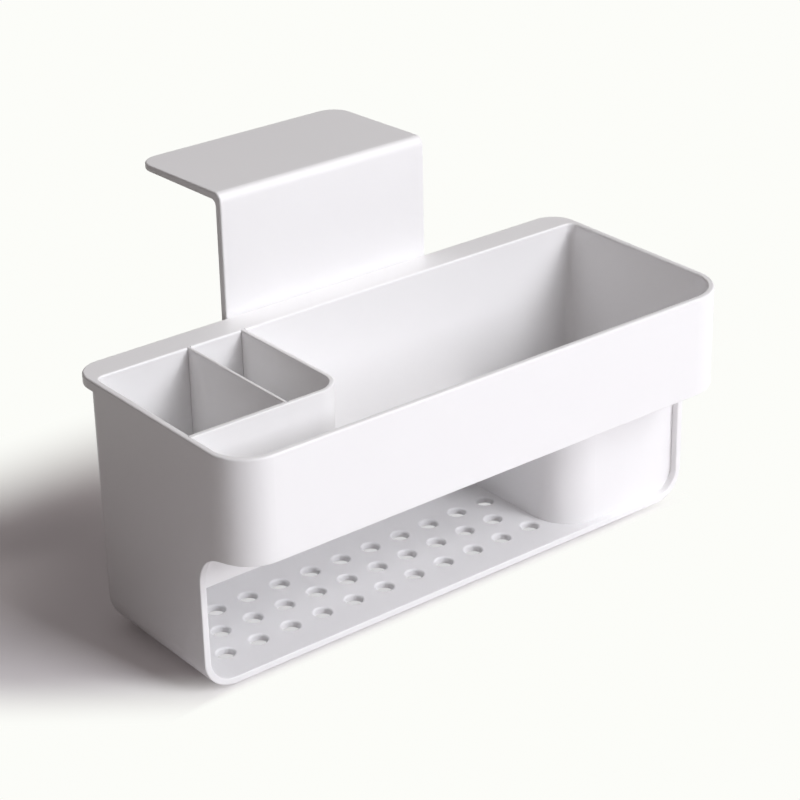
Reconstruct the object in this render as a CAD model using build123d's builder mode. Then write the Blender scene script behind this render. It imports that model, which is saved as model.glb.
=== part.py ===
from build123d import *
import os

os.makedirs("parts", exist_ok=True)

# Kitchen sink caddy, in millimetres.
# X runs along the tub, +Y points to the wall that it hangs on and +Z is up.
# The origin is on the resting plane, under the middle of the whole caddy.

overrun = 5.0
near = 0.01

# Body: one moulding with a tub, a deep well, a perforated shelf and a rear flange
length = 260.0
body_depth = 103.0
body_height = 112.0
wall = 3.0
shelf_thickness = 3.0
band_height = 45.5
left_corner_radius = 17.5
right_corner_radius = 21.0
back_corner_radius = 6.5
bottom_corner_radius = 14.4
window_setback = 28.3
basin_recess = 3.2
cavity_height = 42.4
web_radius = 16.5
well_width = 68.0
well_corner_radius = 18.0
floor_fillet = 3.5
shelf_fillet = 2.0
rim_rounding = 0.9
frame_rounding = 0.5
apron_rounding = 1.0

# Flange along the back of the rim
flange_overhang = 11.3
flange_thickness = 5.0
flange_corner_radius = 12.0
flange_rounding = 1.0

# Drain holes
hole_diameter = 7.7
hole_rounding = 0.9
hole_pitch = 16.33
hole_row_spacing = 15.3
hole_row_setback = 14.3
hole_end_distance = 7.5
hole_wall_distance = 12.0
hole_rows = 3
drain_diameter = 5.0
drain_rounding = 0.5
basin_drain_spacing = 30.6
basin_drain_rows = 2
well_drain_pitch = 15.0
well_drain_columns = 3
well_drain_rows = 3

# Corner compartments
compartment_length = 70.4
partition_wall = 2.0
partition_corner_radius = 12.0
divider_thickness = 1.5
divider_position = 43.8
groove_depth = 1.0
divider_groove_depth = 0.8
groove_clearance = 0.2
seat_gap = 0.1
step_gap = 0.4
panel_rounding = 0.5

# Hanging bracket
bracket_width = 106.8
bracket_offset = 0.7
bracket_rise = 54.9
bracket_reach = 62.9
flange_gap = 0.3
leg_thickness = 3.9
tip_thickness = 3.0
tip_drop = 2.4
bend_radius = 4.0
inner_bend_radius = 2.5
plate_corner_radius = 9.8
plate_rounding = 0.8
leg_foot_height = 27.5
stop_width = 3.0
stop_height = 5.0
stop_corner_radius = 1.5

# Guide rails and their screws
rail_height = 44.0
rail_drop = 6.0
rail_foot_width = 11.0
rail_foot_thickness = 9.0
rail_side_width = 4.75
rail_lip_width = 4.0
rail_lip_thickness = 2.5
rail_side_gap = 0.25
rail_face_gap = 0.3
rail_corner_radius = 2.0
rail_rounding = 0.6
screw_spacing = 28.0
screw_head_diameter = 6.4
screw_head_height = 2.0
screw_head_rounding = 0.9
screw_shank_diameter = 2.9
screw_shank_length = 8.4
screw_tip_length = 1.2
screw_drive_width = 1.0
screw_drive_length = 4.0
screw_drive_depth = 1.0
pilot_clearance = 0.1
pilot_depth = 6.8
shank_clearance = 0.4
boss_diameter = 8.0
boss_length = 6.0
boss_clearance = 0.2

# Feet and soft pads
foot_diameter = 10.0
foot_height = 2.5
foot_recess = 0.6
foot_rounding = 0.8
foot_fit = 0.1
foot_end_distance = 24.0
foot_front_distance = 8.2
foot_back_distance = 13.0
counter_pad_length = 86.0
counter_pad_width = 10.0
counter_pad_thickness = 1.2
counter_pad_inset = 12.0
counter_pad_spacing = 30.0
wall_pad_length = 70.0
wall_pad_height = 12.0
wall_pad_thickness = 3.0
lower_pad_edge = 3.0
upper_pad_edge = 16.0
pad_corner_radius = 3.0
pad_rounding = 0.4

# Places worked out from the sizes
overall_depth = body_depth + flange_overhang + flange_gap + bracket_reach
left_x = -length / 2
right_x = length / 2
inner_left_x = left_x + wall
inner_right_x = right_x - wall
front_y = -overall_depth / 2
inner_front_y = front_y + wall
side_edge_y = front_y + window_setback
basin_front_y = side_edge_y + basin_recess
basin_inner_y = basin_front_y + wall
back_y = front_y + body_depth
inner_back_y = back_y - wall
flange_y = back_y + flange_overhang
leg_y = flange_y + flange_gap
base_z = foot_height
shelf_z = base_z + shelf_thickness
cavity_top_z = shelf_z + cavity_height
basin_floor_z = cavity_top_z + wall
rim_z = base_z + body_height
band_z = rim_z - band_height
ledge_base_z = band_z + basin_recess
ledge_z = ledge_base_z + wall
plate_z = rim_z + bracket_rise
well_x = right_x - well_width
inner_length = length - 2 * wall
inner_corner_radius = bottom_corner_radius - wall
inner_left_radius = left_corner_radius - wall
inner_right_radius = right_corner_radius - wall
inner_well_radius = well_corner_radius - wall


# The front outline, rounded at its lower corners, drawn at a given depth
def frame_profile(width, low_z, high_z, radius, back):
    with BuildSketch(Plane.XZ.offset(-back)) as profile:
        with Locations((0, low_z)):
            Rectangle(width, high_z - low_z, align=(Align.CENTER, Align.MIN))
        fillet(profile.vertices().group_by(Axis.Y)[0], radius)
    return profile.sketch


# A rectangle between two corners in plan
def plan_rectangle(low_x, high_x, low_y, high_y):
    with Locations((low_x, low_y)):
        Rectangle(high_x - low_x, high_y - low_y, align=(Align.MIN, Align.MIN))


# Rounds the two front corners of a plan outline, each with its own radius
def round_front(outline, left_radius, right_radius):
    fillet(outline.vertices().group_by(Axis.Y)[0].sort_by(Axis.X)[0], left_radius)
    fillet(outline.vertices().group_by(Axis.Y)[0].sort_by(Axis.X)[-1], right_radius)


# The edges of a shape that lie wholly at one place along an axis
def edges_at(shape, axis, place):
    return shape.edges().filter_by_position(axis, place - near, place + near)


# Space inside the window, under the basin and beside the well
with BuildPart() as window_space:
    window_outline = frame_profile(inner_length, shelf_z, cavity_top_z, inner_corner_radius, inner_back_y)
    extrude(window_outline, amount=inner_back_y - basin_front_y)
    fillet(edges_at(edges_at(window_space, Axis.Y, inner_back_y), Axis.Z, shelf_z), shelf_fillet)
    with BuildSketch(Plane.YZ.offset(inner_left_x)):
        with Locations((basin_front_y, cavity_top_z)):
            Rectangle(apron_rounding, apron_rounding, align=(Align.MIN, Align.MIN))
        with Locations((basin_front_y + apron_rounding, cavity_top_z + apron_rounding)):
            Circle(apron_rounding, mode=Mode.SUBTRACT)
    extrude(amount=inner_length)
    with BuildSketch(Plane.XY.offset(base_z)) as well_outline:
        plan_rectangle(well_x, right_x, basin_front_y, back_y)
        fillet(well_outline.vertices().group_by(Axis.Y)[0].sort_by(Axis.X)[0], well_corner_radius)
    extrude(amount=body_height, mode=Mode.SUBTRACT)

# Shallow recess in front of the basin and the well, and under the ledge
with BuildPart() as front_recess:
    recess_outline = frame_profile(inner_length, shelf_z, band_z, inner_corner_radius, basin_front_y)
    extrude(recess_outline, amount=basin_recess)
    with BuildSketch(Plane.XY.offset(band_z - web_radius)) as ledge_outline:
        plan_rectangle(inner_left_x, inner_right_x, inner_front_y, basin_front_y)
        round_front(ledge_outline, inner_left_radius, inner_right_radius)
    extrude(amount=web_radius + basin_recess)

# Wide upper part of the tub
with BuildPart() as upper_space:
    with BuildSketch(Plane.XY.offset(ledge_z)) as upper_outline:
        plan_rectangle(inner_left_x, inner_right_x, inner_front_y, inner_back_y)
        round_front(upper_outline, inner_left_radius, inner_right_radius)
    extrude(amount=rim_z - ledge_z + overrun)
    upper_corners = edges_at(upper_space, Axis.Y, inner_back_y).filter_by(Axis.Z)
    fillet(edges_at(upper_space, Axis.Z, ledge_z) + upper_corners, floor_fillet)

# Deep basin behind the front wall of the window
with BuildPart() as basin_space:
    with BuildSketch(Plane.XY.offset(basin_floor_z)):
        plan_rectangle(inner_left_x, inner_right_x, basin_inner_y, inner_back_y)
    extrude(amount=rim_z - basin_floor_z + overrun)
    basin_corners = basin_space.edges().filter_by(Axis.Z)
    fillet(edges_at(basin_space, Axis.Z, basin_floor_z) + basin_corners, floor_fillet)

# Inside of the deep well
with BuildPart() as well_space:
    with BuildSketch(Plane.XY.offset(shelf_z)) as well_floor:
        plan_rectangle(well_x + wall, inner_right_x, basin_inner_y, inner_back_y)
        fillet(well_floor.vertices().group_by(Axis.Y)[0].sort_by(Axis.X)[0], inner_well_radius)
    extrude(amount=rim_z - shelf_z + overrun)
    fillet(edges_at(edges_at(well_space, Axis.Z, shelf_z), Axis.X, inner_right_x), inner_corner_radius)
    well_edges = edges_at(well_space, Axis.Z, shelf_z).filter_by(Axis.X)
    well_edges += [well_space.edges().filter_by(Axis.Z).group_by(Axis.Y)[-1].sort_by(Axis.X)[0]]
    fillet(well_edges, floor_fillet)

# Flange plate with its own rounded lower edge
with BuildPart() as flange:
    with BuildSketch(Plane.XY.offset(rim_z - flange_thickness)) as flange_outline:
        plan_rectangle(left_x, right_x, back_y - 2 * back_corner_radius, flange_y)
        fillet(flange_outline.vertices().group_by(Axis.Y)[-1], flange_corner_radius)
    extrude(amount=flange_thickness)
    fillet(edges_at(edges_at(flange, Axis.Z, rim_z - flange_thickness), Axis.Y, flange_y), flange_rounding)

# Where the bracket, the rails and the screws go
leg_left_x = -bracket_offset - bracket_width / 2
leg_right_x = leg_left_x + bracket_width
leg_middle_x = (leg_left_x + leg_right_x) / 2
leg_back_y = leg_y + leg_thickness
leg_foot_z = base_z + leg_foot_height
rail_top_z = rim_z - rail_drop
rail_middle_z = rail_top_z - rail_height / 2
screw_reach = bracket_width + 2 * (rail_side_gap + rail_side_width) + rail_foot_width
screw_grid = GridLocations(screw_reach, screw_spacing, 2, 2)
screw_spots = [(leg_middle_x + spot.position.X, rail_middle_z + spot.position.Y) for spot in screw_grid]

# Where the holes and the feet go
hole_run = well_x - hole_end_distance - hole_wall_distance - inner_left_x
long_row_count = 1 + int(hole_run / hole_pitch)
hole_middle_x = well_x - hole_end_distance - hole_pitch * (long_row_count - 1) / 2
hole_middle_y = basin_front_y + hole_row_setback + hole_row_spacing
well_middle_x = (well_x + wall + inner_right_x) / 2
well_middle_y = (basin_inner_y + inner_back_y) / 2
foot_front_y = side_edge_y + foot_front_distance
foot_back_y = back_y - foot_back_distance
foot_middle_y = (foot_front_y + foot_back_y) / 2
foot_grid = GridLocations(length - 2 * foot_end_distance, foot_back_y - foot_front_y, 2, 2)
foot_spots = [(spot.position.X, foot_middle_y + spot.position.Y) for spot in foot_grid]

# Where the compartment walls go
partition_inner_x = inner_left_x + compartment_length
partition_x = partition_inner_x + partition_wall
partition_inner_y = basin_front_y + partition_wall
divider_x = inner_left_x + divider_position


# A block between two corners
def block(low_x, high_x, low_y, high_y, low_z, high_z, mode=Mode.ADD):
    with Locations((low_x, low_y, low_z)):
        Box(high_x - low_x, high_y - low_y, high_z - low_z, align=(Align.MIN, Align.MIN, Align.MIN), mode=mode)


# Round rods that run towards +Y from the screw positions
def rods_at_screws(diameter, start_y, end_y, mode=Mode.ADD):
    with Locations(*[(x, start_y, z) for x, z in screw_spots]):
        Cylinder(diameter / 2, end_y - start_y, rotation=(-90, 0, 0), align=(Align.CENTER, Align.CENTER, Align.MIN),
                 mode=mode)


# Rows of round holes down through a floor, each with a soft upper edge
def floor_holes(shape, middle, pitch, counts, diameter, rounding):
    with Locations(middle):
        with GridLocations(*pitch, *counts):
            Cylinder(diameter / 2, wall + overrun, mode=Mode.SUBTRACT)
    rims = edges_at(shape, Axis.Z, middle[2]).filter_by(GeomType.CIRCLE)
    fillet(rims.filter_by(lambda rim: abs(rim.radius - diameter / 2) < near), rounding)


with BuildPart() as caddy_body:
    with BuildSketch(Plane.YZ.offset(left_x)) as side_section:
        with BuildLine():
            Polyline((back_y, base_z), (side_edge_y, base_z), (side_edge_y, band_z), (front_y, band_z),
                     (front_y, rim_z), (back_y, rim_z), close=True)
        make_face()
        fillet(side_section.vertices().group_by(Axis.X)[1].sort_by(Axis.Y)[-1], web_radius)
    extrude(amount=length)
    front_outline = frame_profile(length, base_z, rim_z, bottom_corner_radius, back_y)
    extrude(front_outline, amount=body_depth, mode=Mode.INTERSECT)
    fillet(edges_at(edges_at(caddy_body, Axis.Y, back_y), Axis.Z, base_z), back_corner_radius)
    with BuildSketch(Plane.XY.offset(base_z)) as plan_outline:
        plan_rectangle(left_x, right_x, front_y, back_y)
        round_front(plan_outline, left_corner_radius, right_corner_radius)
    extrude(amount=body_height, mode=Mode.INTERSECT)
    add(flange.part)
    add(front_recess.part, mode=Mode.SUBTRACT)
    fillet(edges_at(edges_at(caddy_body, Axis.Y, side_edge_y), Axis.Z, base_z), frame_rounding)
    fillet(edges_at(edges_at(caddy_body, Axis.Y, side_edge_y), Axis.Z, shelf_z), frame_rounding)
    fillet(edges_at(edges_at(caddy_body, Axis.Z, rim_z), Axis.Y, front_y), rim_rounding)
    add(window_space.part, mode=Mode.SUBTRACT)
    add(upper_space.part, mode=Mode.SUBTRACT)
    add(basin_space.part, mode=Mode.SUBTRACT)
    add(well_space.part, mode=Mode.SUBTRACT)
    fillet(edges_at(edges_at(caddy_body, Axis.Z, rim_z), Axis.Y, inner_front_y), rim_rounding)
    rods_at_screws(boss_diameter, back_y - wall / 2, back_y + boss_length)
    rods_at_screws(screw_shank_diameter + pilot_clearance, back_y + boss_length - pilot_depth,
                   back_y + boss_length + overrun, mode=Mode.SUBTRACT)
    block(inner_left_x - groove_depth, inner_left_x + floor_fillet, basin_front_y - groove_clearance,
          partition_inner_y + groove_clearance, ledge_z, rim_z + overrun, mode=Mode.SUBTRACT)
    block(partition_inner_x - groove_clearance, partition_x + groove_clearance, inner_back_y - floor_fillet,
          inner_back_y + groove_depth, basin_floor_z, rim_z + overrun, mode=Mode.SUBTRACT)
    block(divider_x - groove_clearance, divider_x + divider_thickness + groove_clearance,
          inner_back_y - floor_fillet, inner_back_y + groove_depth, basin_floor_z, rim_z + overrun,
          mode=Mode.SUBTRACT)
    with Locations(*[(x, y, base_z) for x, y in foot_spots]):
        Cylinder(foot_diameter / 2 + foot_fit, 2 * foot_recess, mode=Mode.SUBTRACT)
    shelf_middle = (hole_middle_x, hole_middle_y, shelf_z)
    floor_holes(caddy_body, shelf_middle, (hole_pitch, (hole_rows - 1) * hole_row_spacing),
                (long_row_count, hole_rows - 1), hole_diameter, hole_rounding)
    floor_holes(caddy_body, shelf_middle, (hole_pitch, hole_row_spacing), (long_row_count - 1, 1),
                hole_diameter, hole_rounding)
    floor_holes(caddy_body, (hole_middle_x - hole_pitch / 2, hole_middle_y, basin_floor_z),
                (hole_pitch, basin_drain_spacing), (long_row_count - 1, basin_drain_rows),
                drain_diameter, drain_rounding)
    floor_holes(caddy_body, (well_middle_x, well_middle_y, shelf_z), (well_drain_pitch, well_drain_pitch),
                (well_drain_columns, well_drain_rows), drain_diameter, drain_rounding)

# Corner partition: it stands on the ledge and on the basin floor
with BuildPart() as corner_partition:
    with BuildSketch(Plane.XY.offset(basin_floor_z + seat_gap)) as partition_plan:
        plan_rectangle(inner_left_x - groove_depth + groove_clearance, partition_x, basin_front_y,
                       inner_back_y + groove_depth - groove_clearance)
        partition_corner = partition_plan.vertices().group_by(Axis.Y)[0].sort_by(Axis.X)[-1]
        fillet(partition_corner, partition_corner_radius)
    extrude(amount=rim_z - basin_floor_z - seat_gap)
    with BuildSketch(Plane.XY.offset(basin_floor_z)) as compartment_plan:
        plan_rectangle(left_x, partition_inner_x, partition_inner_y, back_y)
        compartment_corner = compartment_plan.vertices().group_by(Axis.Y)[0].sort_by(Axis.X)[-1]
        fillet(compartment_corner, partition_corner_radius - partition_wall)
    extrude(amount=rim_z - basin_floor_z + overrun, mode=Mode.SUBTRACT)
    block(left_x, right_x, front_y, basin_inner_y + step_gap, base_z, ledge_z + seat_gap, mode=Mode.SUBTRACT)
    block(divider_x - groove_clearance, divider_x + divider_thickness + groove_clearance,
          partition_inner_y - divider_groove_depth, partition_inner_y + overrun, base_z, rim_z + overrun,
          mode=Mode.SUBTRACT)
    block(left_x, right_x, front_y, basin_inner_y + floor_fillet, base_z, basin_floor_z + floor_fillet,
          mode=Mode.SUBTRACT)
    partition_top = edges_at(corner_partition, Axis.Z, rim_z)
    outer_top = edges_at(partition_top, Axis.X, partition_x)
    inner_top = edges_at(partition_top, Axis.X, partition_inner_x)
    fillet(outer_top + inner_top, panel_rounding)

# Cross divider: a thin panel between the partition and the back wall
with BuildPart() as cross_divider:
    block(divider_x, divider_x + divider_thickness, partition_inner_y - divider_groove_depth + groove_clearance,
          inner_back_y + groove_depth - groove_clearance, basin_floor_z + seat_gap, rim_z)
    block(left_x, right_x, front_y, basin_inner_y + step_gap, base_z, ledge_z + seat_gap, mode=Mode.SUBTRACT)
    block(left_x, right_x, front_y, basin_inner_y + floor_fillet, base_z, basin_floor_z + floor_fillet,
          mode=Mode.SUBTRACT)
    fillet(edges_at(cross_divider, Axis.Z, rim_z).filter_by(Axis.Y), panel_rounding)

# Hanging bracket: a leg, a bend and a top plate that slopes down a little towards its tip
plate_tip_y = leg_y + bracket_reach
tip_z = plate_z - tip_drop
with BuildPart() as hanging_bracket:
    with BuildSketch(Plane.YZ.offset(leg_left_x)) as bracket_section:
        with BuildLine():
            Polyline((leg_y, leg_foot_z), (leg_y, plate_z), (plate_tip_y, tip_z),
                     (plate_tip_y, tip_z - tip_thickness), (leg_back_y, plate_z - leg_thickness),
                     (leg_back_y, leg_foot_z), close=True)
        make_face()
        outer_bend = bracket_section.vertices().group_by(Axis.X)[0].sort_by(Axis.Y)[-1]
        fillet(outer_bend, bend_radius)
        inner_bend = bracket_section.vertices().filter_by_position(Axis.X, leg_back_y - near, leg_back_y + near)
        fillet(inner_bend.sort_by(Axis.Y)[-1], inner_bend_radius)
    extrude(amount=bracket_width)
    fillet(edges_at(hanging_bracket, Axis.Y, plate_tip_y).filter_by(Axis.Z), plate_corner_radius)
    leg_front = edges_at(hanging_bracket, Axis.Y, leg_y).filter_by(Axis.Z).sort_by(Axis.X)[0]
    fillet(leg_front, plate_rounding)
    leg_back = edges_at(hanging_bracket, Axis.Y, leg_back_y).filter_by(Axis.Z).sort_by(Axis.X)[0]
    fillet(leg_back, plate_rounding)
    with BuildSketch(Plane.XZ.offset(-leg_back_y)) as stop_outline:
        with Locations((leg_middle_x, leg_foot_z)):
            Rectangle(bracket_width + 2 * stop_width, stop_height, align=(Align.CENTER, Align.MIN))
        fillet(stop_outline.vertices(), stop_corner_radius)
    extrude(amount=leg_thickness)

# Guide rails: each has a foot for two screws and a lip that holds the leg's edge
rail_side_x = leg_left_x - rail_side_gap - rail_side_width
rail_end_x = rail_side_x - rail_foot_width
rail_lip_y = leg_back_y + rail_face_gap
rail_foot_y = back_y + rail_foot_thickness
with BuildPart() as left_guide_rail:
    with BuildSketch(Plane.XY.offset(rail_top_z - rail_height)) as rail_section:
        plan_rectangle(rail_end_x, rail_side_x, back_y, rail_foot_y)
        plan_rectangle(rail_side_x, leg_left_x + rail_lip_width, back_y, leg_y - rail_face_gap)
        plan_rectangle(rail_side_x, leg_left_x - rail_side_gap, back_y, rail_lip_y + rail_lip_thickness)
        plan_rectangle(rail_side_x, leg_left_x + rail_lip_width, rail_lip_y, rail_lip_y + rail_lip_thickness)
        fillet(rail_section.vertices().group_by(Axis.Y)[-1].sort_by(Axis.X)[0], rail_corner_radius)
        fillet(rail_section.vertices().group_by(Axis.X)[0].sort_by(Axis.Y)[-1], rail_corner_radius)
        fillet(rail_section.vertices().group_by(Axis.X)[-1], rail_rounding)
    extrude(amount=rail_height)
    rods_at_screws(boss_diameter + boss_clearance, back_y - overrun, back_y + boss_length + boss_clearance,
                   mode=Mode.SUBTRACT)
    rods_at_screws(screw_shank_diameter + shank_clearance, back_y, rail_foot_y + overrun, mode=Mode.SUBTRACT)

with BuildPart() as right_guide_rail:
    mirror(left_guide_rail.part, about=Plane.YZ.offset(leg_middle_x))

# Screws: a round head with a cross recess, and a plain shank with a tapered tip
head_y = rail_foot_y + screw_head_height
tip_y = rail_foot_y - screw_shank_length
with BuildPart() as screw:
    with BuildSketch():
        with BuildLine():
            Polyline((0, head_y), (screw_head_diameter / 2, head_y), (screw_head_diameter / 2, rail_foot_y),
                     (screw_shank_diameter / 2, rail_foot_y), (screw_shank_diameter / 2, tip_y + screw_tip_length),
                     (0, tip_y), close=True)
        make_face()
    revolve(axis=Axis.Y)
    fillet(edges_at(screw, Axis.Y, head_y).filter_by(GeomType.CIRCLE), screw_head_rounding)
    for slot_x, slot_z in ((screw_drive_length, screw_drive_width), (screw_drive_width, screw_drive_length)):
        block(-slot_x / 2, slot_x / 2, head_y - screw_drive_depth, head_y + overrun, -slot_z / 2, slot_z / 2,
              mode=Mode.SUBTRACT)

with BuildPart() as rail_screws:
    for x, z in screw_spots:
        add(screw.part.moved(Location((x, 0, z))))

# Feet
with BuildPart() as foot:
    Cylinder(foot_diameter / 2, foot_height + foot_recess, align=(Align.CENTER, Align.CENTER, Align.MIN))
    fillet(edges_at(foot, Axis.Z, 0).filter_by(GeomType.CIRCLE), foot_rounding)


# Height of the top plate's underside at a given depth
def plate_underside(y):
    start_y = leg_back_y
    start_z = plate_z - leg_thickness
    slope = (tip_z - tip_thickness - start_z) / (plate_tip_y - start_y)
    return start_z + slope * (y - start_y)


# Soft strips under the top plate share one level underside
far_pad_y = plate_tip_y - counter_pad_inset
counter_pad_z = plate_underside(far_pad_y) - counter_pad_thickness
pad_left_x = leg_middle_x - counter_pad_length / 2
with BuildPart() as counter_pads:
    for high_y in (far_pad_y, far_pad_y - counter_pad_spacing):
        low_y = high_y - counter_pad_width
        with BuildSketch(Plane.YZ.offset(pad_left_x)):
            with BuildLine():
                Polyline((low_y, counter_pad_z), (high_y, counter_pad_z), (high_y, plate_underside(high_y)),
                         (low_y, plate_underside(low_y)), close=True)
            make_face()
        extrude(amount=counter_pad_length)
    fillet(counter_pads.edges().filter_by(Axis.Z), pad_corner_radius)
    fillet(edges_at(counter_pads, Axis.Z, counter_pad_z), pad_rounding)


# A soft strip on the leg's back face
def wall_pad(low_z):
    wall_pad_y = leg_back_y + wall_pad_thickness
    with BuildPart() as pad:
        with BuildSketch(Plane.XZ.offset(-wall_pad_y)) as pad_outline:
            with Locations((leg_middle_x, low_z)):
                Rectangle(wall_pad_length, wall_pad_height, align=(Align.CENTER, Align.MIN))
            fillet(pad_outline.vertices(), pad_corner_radius)
        extrude(amount=wall_pad_thickness)
        fillet(edges_at(edges_at(pad, Axis.Y, wall_pad_y), Axis.Z, low_z), pad_rounding)
    return pad.part


nodes = {
    "caddy_body": caddy_body.part,
    "corner_partition": corner_partition.part,
    "cross_divider": cross_divider.part,
    "hanging_bracket": hanging_bracket.part,
    "left_guide_rail": left_guide_rail.part,
    "right_guide_rail": right_guide_rail.part,
    "rail_screws": rail_screws.part,
    "counter_pads": counter_pads.part,
    "upper_wall_pad": wall_pad(plate_z - leg_thickness - upper_pad_edge - wall_pad_height),
    "lower_wall_pad": wall_pad(leg_foot_z + lower_pad_edge),
}
foot_names = ("front_left_foot", "back_left_foot", "front_right_foot", "back_right_foot")
for foot_name, (foot_x, foot_y) in zip(foot_names, foot_spots):
    nodes[foot_name] = foot.part.moved(Location((foot_x, foot_y, 0)))
for node_name, node in nodes.items():
    node.label = node_name
    export_step(node, "parts/" + node_name + ".step")
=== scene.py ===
import math
import bpy
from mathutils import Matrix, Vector


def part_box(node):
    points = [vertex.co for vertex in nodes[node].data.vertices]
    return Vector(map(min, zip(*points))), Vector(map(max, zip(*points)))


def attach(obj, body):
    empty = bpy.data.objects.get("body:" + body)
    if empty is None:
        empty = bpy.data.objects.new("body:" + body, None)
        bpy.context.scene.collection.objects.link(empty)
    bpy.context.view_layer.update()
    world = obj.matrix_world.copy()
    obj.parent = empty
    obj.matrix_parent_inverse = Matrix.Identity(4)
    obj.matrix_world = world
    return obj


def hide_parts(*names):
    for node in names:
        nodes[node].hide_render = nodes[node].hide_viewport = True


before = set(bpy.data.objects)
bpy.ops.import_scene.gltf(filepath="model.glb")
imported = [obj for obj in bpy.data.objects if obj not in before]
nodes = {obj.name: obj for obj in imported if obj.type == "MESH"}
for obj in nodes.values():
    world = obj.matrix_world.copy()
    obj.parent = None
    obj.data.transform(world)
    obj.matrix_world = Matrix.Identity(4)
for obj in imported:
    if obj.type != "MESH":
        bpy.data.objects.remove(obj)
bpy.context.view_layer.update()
scene = bpy.context.scene
scene.view_settings.view_transform = "Standard"
bpy.ops.object.select_all(action="DESELECT")
print("frame loaded:", len(nodes), "nodes")

# Camera: found by fitting the tub's straight edges in the photograph
cameraView = {"place": (-0.5507, -0.72541, 0.50967), "turn": (64.1488, 1.0321, -38.5377),
              "lens": 105.665, "sensor": 36.0, "nearest": 0.05, "furthest": 20.0}
cameraTurn = [math.radians(angle) for angle in cameraView["turn"]]
bpy.ops.object.camera_add(location=cameraView["place"], rotation=cameraTurn)
camera = bpy.context.object
camera.data.lens = cameraView["lens"]
camera.data.sensor_width = cameraView["sensor"]
camera.data.clip_start, camera.data.clip_end = cameraView["nearest"], cameraView["furthest"]
scene.camera = camera
print("camera placed")


# Shader maths as plain expressions: a wire is one output socket in a material
class Wire:
    def __init__(self, graph, socket):
        self.graph, self.socket = graph, socket

    def mathNode(self, operation, first, second):
        return self.graph.add("Math", {"operation": operation}, {0: first, 1: second})[0]

    def __add__(self, other):
        return self.mathNode("ADD", self, other)

    def __sub__(self, other):
        return self.mathNode("SUBTRACT", self, other)

    def __rsub__(self, other):
        return self.mathNode("SUBTRACT", other, self)

    def __mul__(self, other):
        return self.mathNode("MULTIPLY", self, other)

    __radd__ = __add__
    __rmul__ = __mul__


# A node that was added, whose outputs are read by name or number as wires
class Added:
    def __init__(self, graph, node):
        self.graph, self.node = graph, node

    def __getitem__(self, key):
        return Wire(self.graph, self.node.outputs[key])


# A material's node tree, with one method that adds any node
class Graph:
    def __init__(self, material):
        material.use_nodes = True
        self.tree = material.node_tree
        self.tree.nodes.clear()

    def add(self, kind, settings=None, inputs=None):
        node = self.tree.nodes.new("ShaderNode" + kind)
        for name, value in (settings or {}).items():
            setattr(node, name, value)
        for key, value in (inputs or {}).items():
            if isinstance(value, Wire):
                self.tree.links.new(value.socket, node.inputs[key])
            else:
                node.inputs[key].default_value = value
        return Added(self, node)

    def finish(self, surface):
        self.add("OutputMaterial", None, {"Surface": surface})


def newMaterial(name):
    material = bpy.data.materials.new(name)
    return material, Graph(material)


# A noise pattern from its scale, its detail and the roughness of that detail, 0 to 1 with a middle of 0.5
def noise(graph, place, pattern):
    scale, detail, roughness = pattern
    return graph.add("TexNoise", None, {"Vector": place, "Scale": scale, "Detail": detail,
                                        "Roughness": roughness})["Fac"]


# One colour where the amount is 0, the other where it is 1
def blend(graph, amount, first, second):
    return graph.add("Mix", {"data_type": "RGBA"}, {0: amount, 6: first, 7: second})[2]


# Moulded plastic: a faint orange-peel skin, slow changes in gloss and a trace of handling haze
def mouldedPlastic(name, look):
    material, graph = newMaterial(name)
    place = graph.add("TexCoord")["Object"]
    slow = noise(graph, place, look["slow"])
    peel = noise(graph, place, look["peel"])
    grain = noise(graph, place, look["grain"])
    tone = blend(graph, slow, look["darker"], look["lighter"])
    gloss = look["roughness"] + (slow - 0.5) * look["glossDrift"] + (grain - 0.5) * look["glossGrain"]
    height = peel * look["peelShare"] + grain * look["grainShare"]
    skin = graph.add("Bump", None, {"Strength": look["peelStrength"], "Distance": look["peelDepth"],
                                    "Height": height})["Normal"]
    graph.finish(graph.add("BsdfPrincipled", None, {"Base Color": tone, "Roughness": gloss, "Normal": skin,
                                                    "IOR": look["ior"]})["BSDF"])
    return material


bodyLook = {
    "darker": (0.955, 0.951, 0.957, 1.0), "lighter": (0.972, 0.967, 0.972, 1.0),
    "slow": (9.0, 3.0, 0.55), "peel": (620.0, 2.0, 0.5), "grain": (2600.0, 4.0, 0.6),
    "roughness": 0.36, "glossDrift": 0.08, "glossGrain": 0.06, "ior": 1.49,
    "peelShare": 0.8, "grainShare": 0.2, "peelStrength": 0.12, "peelDepth": 0.00008,
}
panelLook = dict(bodyLook, darker=(0.958, 0.953, 0.956, 1.0), lighter=(0.976, 0.970, 0.973, 1.0),
                 roughness=0.38, slow=(14.0, 3.0, 0.55))
bracketLook = dict(bodyLook, roughness=0.4, slow=(11.0, 3.0, 0.55))
railLook = dict(bodyLook, darker=(0.80, 0.80, 0.80, 1.0), lighter=(0.83, 0.83, 0.83, 1.0),
                roughness=0.5, peel=(900.0, 2.0, 0.5))
bodyPlastic = mouldedPlastic("bodyPlastic", bodyLook)
panelPlastic = mouldedPlastic("panelPlastic", panelLook)
bracketPlastic = mouldedPlastic("bracketPlastic", bracketLook)
railPlastic = mouldedPlastic("railPlastic", railLook)


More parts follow.
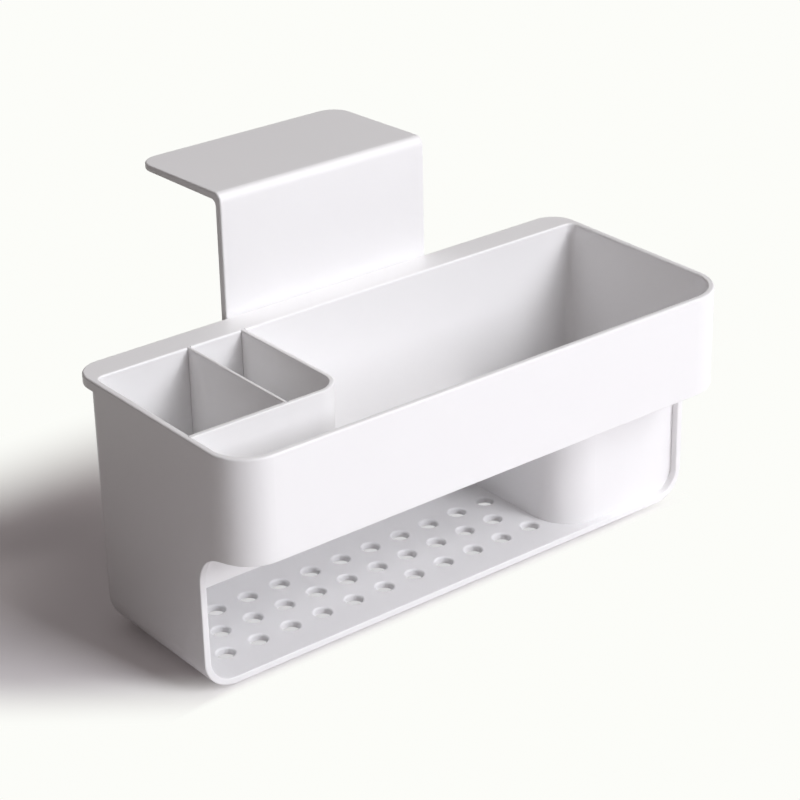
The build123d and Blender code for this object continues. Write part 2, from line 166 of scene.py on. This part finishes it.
# Soft silicone: matte, with fine dust in the grain
def silicone(name, look):
    material, graph = newMaterial(name)
    place = graph.add("TexCoord")["Object"]
    dust = noise(graph, place, look["dust"])
    grain = noise(graph, place, look["grain"])
    tone = blend(graph, dust, look["darker"], look["lighter"])
    skin = graph.add("Bump", None, {"Strength": look["grainStrength"], "Distance": look["grainDepth"],
                                    "Height": grain})["Normal"]
    gloss = look["roughness"] + (dust - 0.5) * look["glossDust"]
    graph.finish(graph.add("BsdfPrincipled", None, {"Base Color": tone, "Roughness": gloss, "Normal": skin,
                                                    "IOR": look["ior"]})["BSDF"])
    return material


padLook = {
    "darker": (0.50, 0.51, 0.52, 1.0), "lighter": (0.60, 0.61, 0.62, 1.0),
    "dust": (160.0, 5.0, 0.65), "grain": (2400.0, 2.0, 0.5),
    "roughness": 0.62, "glossDust": 0.2, "ior": 1.41, "grainStrength": 0.25, "grainDepth": 0.00006,
}
footSkinLook = dict(padLook, darker=(0.56, 0.57, 0.58, 1.0), lighter=(0.66, 0.67, 0.68, 1.0),
                    dust=(260.0, 5.0, 0.65), grain=(3000.0, 2.0, 0.5), roughness=0.55, grainDepth=0.00005)
padSilicone = silicone("padSilicone", padLook)
footSilicone = silicone("footSilicone", footSkinLook)


# Turned stainless steel: fine marks of the tool, and faint stains that dull it
def turnedSteel(name, look):
    material, graph = newMaterial(name)
    place = graph.add("TexCoord")["Object"]
    marks = noise(graph, place, look["marks"])
    stain = noise(graph, place, look["stain"])
    tone = blend(graph, stain, look["darker"], look["lighter"])
    skin = graph.add("Bump", None, {"Strength": look["markStrength"], "Distance": look["markDepth"],
                                    "Height": marks})["Normal"]
    gloss = look["roughness"] + stain * look["glossStain"]
    graph.finish(graph.add("BsdfPrincipled", None, {"Base Color": tone, "Metallic": 1.0,
                                                    "Roughness": gloss, "Normal": skin})["BSDF"])
    return material


steelLook = {
    "darker": (0.55, 0.55, 0.56, 1.0), "lighter": (0.66, 0.66, 0.66, 1.0), "marks": (5200.0, 2.0, 0.5),
    "stain": (700.0, 3.0, 0.5), "roughness": 0.24, "glossStain": 0.14, "markStrength": 0.2,
    "markDepth": 0.00003,
}
screwSteel = turnedSteel("screwSteel", steelLook)
print("materials made")

nodeFinish = {
    "caddy_body": bodyPlastic, "corner_partition": panelPlastic, "cross_divider": panelPlastic,
    "hanging_bracket": bracketPlastic, "left_guide_rail": railPlastic, "right_guide_rail": railPlastic,
    "rail_screws": screwSteel, "counter_pads": padSilicone, "upper_wall_pad": padSilicone,
    "lower_wall_pad": padSilicone, "front_left_foot": footSilicone, "back_left_foot": footSilicone,
    "front_right_foot": footSilicone, "back_right_foot": footSilicone,
}
for nodeName, finish in nodeFinish.items():
    mesh = nodes[nodeName].data
    mesh.materials.clear()
    mesh.materials.append(finish)
print("finishes on nodes")


# One object alone is taken into edit mode
def startEdit(piece):
    bpy.ops.object.select_all(action="DESELECT")
    piece.select_set(True)
    bpy.context.view_layer.objects.active = piece
    bpy.ops.object.mode_set(mode="EDIT")


pickModes = {"vertices": "VERT", "edges": "EDGE", "polygons": "FACE"}
hair = 0.00001  # places nearer than this count as one
upright = 0.9  # a direction with more than this along an axis follows it
level = 0.1  # and one with less lies across it
flat = 0.99  # a face whose normal has more than this along an axis is square to it


# Selects only the vertices or faces that pass a test on their place and normal, or the edges that
# pass one on their middle and direction; the piece is in edit mode before and after
def pick(piece, kind, test):
    bpy.ops.mesh.select_mode(type=pickModes[kind])
    bpy.ops.mesh.select_all(action="DESELECT")
    bpy.ops.object.mode_set(mode="OBJECT")
    mesh = piece.data
    for item in getattr(mesh, kind):
        if kind == "edges":
            middle = (mesh.vertices[item.vertices[0]].co + mesh.vertices[item.vertices[1]].co) / 2.0
            along = mesh.vertices[item.vertices[1]].co - mesh.vertices[item.vertices[0]].co
            item.select = test(middle, along.normalized())
        elif kind == "polygons":
            item.select = test(item.center, item.normal)
        else:
            item.select = test(item.co, item.normal)
    bpy.ops.object.mode_set(mode="EDIT")


finishLook = {"merge": 0.000002, "smoothBelow": 32.0}


# The skin is closed and turned outwards, the place goes into the mesh, and the piece rides on its body
def settle(piece, body, finish, replaced):
    bpy.ops.object.mode_set(mode="EDIT")
    bpy.ops.mesh.select_all(action="SELECT")
    bpy.ops.mesh.remove_doubles(threshold=finishLook["merge"])
    bpy.ops.mesh.normals_make_consistent(inside=False)
    bpy.ops.object.mode_set(mode="OBJECT")
    bpy.ops.object.select_all(action="DESELECT")
    piece.select_set(True)
    bpy.context.view_layer.objects.active = piece
    bpy.ops.object.transform_apply(location=True, rotation=True, scale=True)
    bpy.ops.object.shade_smooth_by_angle(angle=math.radians(finishLook["smoothBelow"]))
    piece.data.materials.clear()
    piece.data.materials.append(finish)
    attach(piece, body)
    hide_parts(replaced)


# Cuts the whole mesh in edit mode along a plane, and keeps both sides
def cutAcross(place, normal):
    bpy.ops.mesh.select_all(action="SELECT")
    bpy.ops.mesh.bisect(plane_co=place, plane_no=normal)


# A ribbed soft strip: its grooved face looks down, or to the wall when it is turned
def ribbedStrip(name, middle, length, width, thickness, look, turn, tilt):
    bpy.ops.object.select_all(action="DESELECT")
    bpy.ops.mesh.primitive_cube_add(size=1.0, location=(0.0, 0.0, 0.0), scale=(length, width, thickness))
    strip = bpy.context.object
    strip.name = name
    bpy.ops.object.transform_apply(location=False, rotation=False, scale=True)
    startEdit(strip)
    underside, top = hair - thickness / 2.0, thickness / 2.0 - hair
    pick(strip, "edges", lambda middle, along: abs(along.z) > upright)
    bpy.ops.mesh.bevel(offset=look["corner"], segments=look["cornerSteps"], profile=0.5)
    pick(strip, "edges", lambda middle, along: middle.z < underside and abs(along.z) < level)
    bpy.ops.mesh.bevel(offset=look["edge"], segments=look["edgeSteps"], profile=0.5)
    ribSpan = width - 2.0 * look["border"]
    ribPitch = ribSpan / (2 * look["grooves"] + 1)
    endX = length / 2.0 - look["border"] - look["corner"] / 2.0
    for side in (-1.0, 1.0):
        cutAcross((side * endX, 0.0, 0.0), (1.0, 0.0, 0.0))
    for line in range(2 * look["grooves"] + 2):
        cutAcross((0.0, -ribSpan / 2.0 + line * ribPitch, 0.0), (0.0, 1.0, 0.0))

    def inGroove(middle, normal):
        band = (middle.y + ribSpan / 2.0) / ribPitch
        inside = abs(middle.x) < endX and 0.0 < band < 2 * look["grooves"]
        return inside and normal.z < -upright and int(band) % 2 == 1

    pick(strip, "polygons", inGroove)
    bpy.ops.mesh.extrude_region_move(TRANSFORM_OT_translate={"value": (0.0, 0.0, look["grooveDepth"])})
    bpy.ops.transform.resize(value=look["grooveNarrowing"])
    pick(strip, "vertices", lambda place, normal: place.z > top)
    bpy.ops.transform.rotate(value=math.atan(tilt), orient_axis="X",
                             center_override=(0.0, width / 2.0, thickness / 2.0))
    bpy.ops.object.mode_set(mode="OBJECT")
    strip.location = middle
    strip.rotation_euler = (math.radians(turn), 0.0, 0.0)
    return strip


# Soft strips under the top plate: one level underside, tops that follow the plate's slope
counterStrip = {
    "length": 0.086, "width": 0.010, "slope": 0.0254, "corner": 0.003, "cornerSteps": 8, "edge": 0.0004,
    "edgeSteps": 4, "border": 0.0014, "grooves": 3, "grooveDepth": 0.0004,
    "grooveNarrowing": (0.995, 0.97, 1.0),
}
padLow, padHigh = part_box("counter_pads")
padMiddleX = (padLow[0] + padHigh[0]) / 2.0
strips = []
for stripLowY in (padLow[1], padHigh[1] - counterStrip["width"]):
    drop = (stripLowY + counterStrip["width"] - padLow[1]) * counterStrip["slope"]
    thick = padHigh[2] - padLow[2] - drop
    stripMiddle = (padMiddleX, stripLowY + counterStrip["width"] / 2.0, padLow[2] + thick / 2.0)
    strip = ribbedStrip("counterStrip" + str(len(strips) + 1), stripMiddle, counterStrip["length"],
                        counterStrip["width"], thick, counterStrip, 0.0, counterStrip["slope"])
    settle(strip, "hanger", padSilicone, "counter_pads")
    strips.append(strip)

# Soft strips on the leg's back, with their ribs towards the wall
wallStrip = {
    "corner": 0.003, "cornerSteps": 8, "edge": 0.0004, "edgeSteps": 4, "border": 0.0018, "grooves": 3,
    "grooveDepth": 0.0009, "grooveNarrowing": (0.995, 0.97, 1.0), "turn": 90.0,
}
for padName, stripName in (("upper_wall_pad", "upperWallStrip"), ("lower_wall_pad", "lowerWallStrip")):
    padLow, padHigh = (Vector(corner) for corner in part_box(padName))
    padSize = padHigh - padLow
    strip = ribbedStrip(stripName, (padLow + padHigh) / 2.0, padSize.x, padSize.z, padSize.y, wallStrip,
                        wallStrip["turn"], 0.0)
    settle(strip, "hanger", padSilicone, padName)
    strips.append(strip)
print("soft strips made:", len(strips))

# Feet: a soft disc with a rounded tread, a cupped middle and a grip ring
footLook = {
    "sides": 64, "rounding": 0.0009, "roundingSteps": 6, "rim": 0.0011, "cup": 0.0006, "ring": 0.0006,
    "groove": 0.0004, "centre": 0.0011, "slope": 0.0002, "cupSlope": 0.0003,
}


def makeFoot(name, low, high):
    radius = (high.x - low.x) / 2.0
    height = high.z - low.z
    bpy.ops.object.select_all(action="DESELECT")
    bpy.ops.mesh.primitive_cylinder_add(vertices=footLook["sides"], radius=radius, depth=height,
                                        location=(low + high) / 2.0)
    foot = bpy.context.object
    foot.name = name
    startEdit(foot)
    underside = hair - height / 2.0
    pick(foot, "edges", lambda middle, along: middle.z < underside and abs(along.z) < level)
    bpy.ops.mesh.bevel(offset=footLook["rounding"], segments=footLook["roundingSteps"], profile=0.5)
    treadRadius = radius - footLook["rounding"]
    pick(foot, "polygons", lambda middle, normal: normal.z < -flat and middle.to_2d().length < treadRadius)
    steps = ((footLook["rim"], 0.0), (footLook["slope"], footLook["groove"]), (footLook["ring"], 0.0),
             (footLook["slope"], -footLook["groove"]), (footLook["ring"], 0.0),
             (footLook["cupSlope"], footLook["cup"]), (footLook["centre"], 0.0))
    for inward, inset in steps:
        bpy.ops.mesh.inset(thickness=inward, depth=-inset)
    bpy.ops.object.mode_set(mode="OBJECT")
    return foot


for footNode in ("front_left_foot", "back_left_foot", "front_right_foot", "back_right_foot"):
    footLow, footHigh = (Vector(corner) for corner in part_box(footNode))
    words = footNode.split("_")
    foot = makeFoot(words[0] + words[1].title() + "FootCup", footLow, footHigh)
    settle(foot, "tub", footSilicone, footNode)
print("feet made")

# Screws: a domed head with a tapered cross recess, and a shank with turned rings for its thread
screwLook = {
    "sides": 64, "headRadius": 0.0032, "headHeight": 0.002, "dome": 0.0011, "domeSteps": 8,
    "crossLength": 0.0038, "crossWidth": 0.00085, "crossDepth": 0.0011, "crossTaper": 0.62,
    "shankRadius": 0.00145, "rootRadius": 0.00112, "shankLength": 0.0084, "rings": 9, "tip": 0.0012,
    "tipTaper": 0.15,
}


def makeScrew():
    look = screwLook
    bpy.ops.object.select_all(action="DESELECT")
    bpy.ops.mesh.primitive_cylinder_add(vertices=look["sides"], radius=look["headRadius"],
                                        depth=look["headHeight"],
                                        location=(0.0, 0.0, look["headHeight"] / 2.0))
    screw = bpy.context.object
    screw.name = "railScrew"
    bpy.ops.object.transform_apply(location=True, rotation=False, scale=False)
    top = look["headHeight"]
    startEdit(screw)
    pick(screw, "edges", lambda middle, along: middle.z > top - hair and abs(along.z) < level)
    bpy.ops.mesh.bevel(offset=look["dome"], segments=look["domeSteps"], profile=0.5)
    half, arm = look["crossWidth"] / 2.0, look["crossLength"] / 2.0
    for place in (-arm, -half, half, arm):
        cutAcross((place, 0.0, 0.0), (1.0, 0.0, 0.0))
        cutAcross((0.0, place, 0.0), (0.0, 1.0, 0.0))

    def inCross(middle, normal):
        across, along = sorted((abs(middle.x), abs(middle.y)))
        return normal.z > upright and across < half and along < arm

    pick(screw, "polygons", inCross)
    bpy.ops.mesh.extrude_region_move(TRANSFORM_OT_translate={"value": (0.0, 0.0, -look["crossDepth"])})
    taper = look["crossTaper"]
    bpy.ops.transform.resize(value=(taper, taper, 1.0), center_override=(0.0, 0.0, top))
    pick(screw, "polygons", lambda middle, normal: normal.z < -flat and middle.z < hair)
    bpy.ops.mesh.extrude_region_move(TRANSFORM_OT_translate={"value": (0.0, 0.0, 0.0)})
    shrink = look["rootRadius"] / look["headRadius"]
    bpy.ops.transform.resize(value=(shrink, shrink, 1.0), center_override=(0.0, 0.0, 0.0))
    pitch = (look["shankLength"] - look["tip"]) / look["rings"]
    grow = look["shankRadius"] / look["rootRadius"]
    for ring in range(2 * look["rings"]):
        bpy.ops.mesh.extrude_region_move(TRANSFORM_OT_translate={"value": (0.0, 0.0, -pitch / 2.0)})
        size = grow if ring % 2 == 0 else 1.0 / grow
        bpy.ops.transform.resize(value=(size, size, 1.0))
    bpy.ops.mesh.extrude_region_move(TRANSFORM_OT_translate={"value": (0.0, 0.0, -look["tip"])})
    bpy.ops.transform.resize(value=(look["tipTaper"], look["tipTaper"], 1.0))
    bpy.ops.object.mode_set(mode="OBJECT")
    return screw


firstScrew = makeScrew()
screwLow, screwHigh = (Vector(corner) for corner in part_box("rail_screws"))
headFace = screwHigh.y - screwLook["headHeight"]
count = 0
for screwX in (screwLow.x + screwLook["headRadius"], screwHigh.x - screwLook["headRadius"]):
    for screwZ in (screwLow.z + screwLook["headRadius"], screwHigh.z - screwLook["headRadius"]):
        bpy.ops.object.select_all(action="DESELECT")
        firstScrew.select_set(True)
        bpy.context.view_layer.objects.active = firstScrew
        bpy.ops.object.duplicate(linked=False)
        screw = bpy.context.object
        count += 1
        screw.name = "railScrew" + str(count)
        screw.location = (screwX, headFace, screwZ)
        screw.rotation_euler = (math.radians(-90.0), 0.0, 0.0)
        bpy.ops.object.transform_apply(location=True, rotation=True, scale=False)
        settle(screw, "tub", screwSteel, "rail_screws")
bpy.data.objects.remove(firstScrew)
print("screws made:", count)


# Floor: it keeps the shadow on the caddy's left, has painted light under the shelf, and turns into the
# plain white backdrop elsewhere
whiteTone = (0.975, 0.98, 0.945, 1.0)
floorLook = {
    "size": 9.0,
    # The light that the floor sends back: dim on the left, bright in front from a line across the floor
    "dimBounce": (0.18, 0.155, 0.15, 1.0), "bounce": (0.84, 0.815, 0.83, 1.0), "bounceFrom": (-0.15, 0.07),
    "shown": (1.06, 1.02, 1.03, 1.0),  # the lit floor as it is seen
    # Where the backdrop's white starts on each side, and the length that it comes in over
    "farFrom": (0.26, 0.2), "behindFrom": (0.112, 0.085), "rightFrom": (0.085, 0.05),
    "frontFrom": (0.0545, 0.0095), "nearFrom": (0.105, 0.04), "nearTurn": -38.5,  # turned from the front
    # Painted light: a pale glowing patch on the floor under the shelf, seen through its holes in place of
    # the shade there
    "underTone": (0.66, 0.65, 0.66, 1.0), "underHalfLength": 0.112, "underFront": -0.045,
    "underBack": -0.005,
}


# Rises smoothly from 0 at the start to 1 over the given length
def fade(graph, measured, start, over):
    return graph.add("MapRange", {"interpolation_type": "SMOOTHSTEP"},
                     {"Value": measured, "From Min": start, "From Max": start + over})["Result"]


def larger(graph, first, second):
    return graph.add("Math", {"operation": "MAXIMUM"}, {0: first, 1: second})[0]


# One where a value is nearer to zero than the limit
def near(graph, value, limit):
    size = graph.add("Math", {"operation": "ABSOLUTE"}, {0: value})[0]
    return graph.add("Math", {"operation": "LESS_THAN"}, {0: size, 1: limit})[0]


def makeFloor(look):
    bpy.ops.mesh.primitive_plane_add(size=look["size"], location=(0.0, 0.0, 0.0))
    floor = bpy.context.object
    floor.name = "studioFloor"
    material, graph = newMaterial("studioFloor")
    path = graph.add("LightPath")
    seen = larger(graph, path["Is Camera Ray"], path["Is Glossy Ray"])
    place = graph.add("TexCoord")["Object"]
    axes = graph.add("SeparateXYZ", None, {0: place})
    turned = graph.add("VectorRotate", {"rotation_type": "Z_AXIS"},
                       {"Vector": place, "Angle": math.radians(-look["nearTurn"])})["Vector"]
    towards = 0.0 - graph.add("SeparateXYZ", None, {0: turned})["Y"]
    distance = graph.add("VectorMath", {"operation": "LENGTH"}, {0: place})["Value"]
    front = 0.0 - axes["Y"]
    away = fade(graph, distance, *look["farFrom"])
    for measured, reach in ((axes["Y"], "behindFrom"), (axes["X"], "rightFrom"), (front, "frontFrom"),
                            (towards, "nearFrom")):
        away = larger(graph, away, fade(graph, measured, *look[reach]))
    lightSide = fade(graph, front + axes["X"], *look["bounceFrom"])
    bounce = blend(graph, lightSide, look["dimBounce"], look["bounce"])
    tone = blend(graph, seen, bounce, look["shown"])
    lit = graph.add("BsdfDiffuse", None, {"Color": tone})["BSDF"]
    # Painted light under the shelf: the floor glows pale grey where it lies in shade, and the rest of the
    # backdrop glows plain white
    middle = (look["underFront"] + look["underBack"]) / 2.0
    under = near(graph, axes["X"], look["underHalfLength"])
    under = under * near(graph, axes["Y"] - middle, look["underBack"] - middle)
    backdropAndPaintedLight = blend(graph, under, whiteTone, look["underTone"])
    plain = graph.add("Emission", None, {"Color": backdropAndPaintedLight})["Emission"]
    graph.finish(graph.add("MixShader", None, {0: seen * larger(graph, away, under), 1: lit,
                                               2: plain})["Shader"])
    floor.data.materials.append(material)


makeFloor(floorLook)

# Sky: white to the camera, a weak warm fill to everything else
skyLook = {"fill": (1.0, 0.925, 0.925, 1.0), "fillStrength": 0.17}
world = bpy.data.worlds.new("studioSky")
scene.world = world
graph = Graph(world)
path = graph.add("LightPath")
seen = larger(graph, path["Is Camera Ray"], path["Is Transmission Ray"])
fill = graph.add("Background", None, {"Color": skyLook["fill"],
                                      "Strength": skyLook["fillStrength"]})["Background"]
plain = graph.add("Background", None, {"Color": whiteTone})["Background"]
sky = graph.add("MixShader", None, {0: seen, 1: fill, 2: plain})["Shader"]
graph.add("OutputWorld", None, {"Surface": sky})


# Softbox lamps, all of one size and distance, each aimed at the caddy; their width and height are angles
boxLook = {"distance": 4.0, "aimHeight": 0.06, "wide": 22.0, "high": 16.0}
lampLooks = {
    "keyLamp": {"azimuth": 20.0, "elevation": 24.0, "power": 65.0, "colour": (0.95, 0.955, 1.0)},
    "keyUpperLamp": {"azimuth": 20.0, "elevation": 40.0, "power": 41.0, "colour": (0.95, 0.97, 1.0)},
    "sideLamp": {"azimuth": 65.0, "elevation": 56.0, "power": 42.0, "colour": (1.0, 0.97, 0.95)},
    "leftLamp": {"azimuth": -60.0, "elevation": 26.0, "power": 1.0, "colour": (1.0, 0.62, 0.5)},
}


def softBox(name, look):
    around, up = math.radians(look["azimuth"]), math.radians(look["elevation"])
    away = Vector((math.sin(around) * math.cos(up), -math.cos(around) * math.cos(up), math.sin(up)))
    place = away * boxLook["distance"] + Vector((0.0, 0.0, boxLook["aimHeight"]))
    bpy.ops.object.light_add(type="AREA", location=place)
    lamp = bpy.context.object
    lamp.name = name
    lamp.rotation_euler = away.to_track_quat("Z", "Y").to_euler()
    lamp.data.shape = "RECTANGLE"
    lamp.data.size = 2.0 * boxLook["distance"] * math.tan(math.radians(boxLook["wide"] / 2.0))
    lamp.data.size_y = 2.0 * boxLook["distance"] * math.tan(math.radians(boxLook["high"] / 2.0))
    lamp.data.energy = look["power"]
    lamp.data.color = look["colour"]


for lampName, lampLook in lampLooks.items():
    softBox(lampName, lampLook)
print("floor, sky and lamps made")
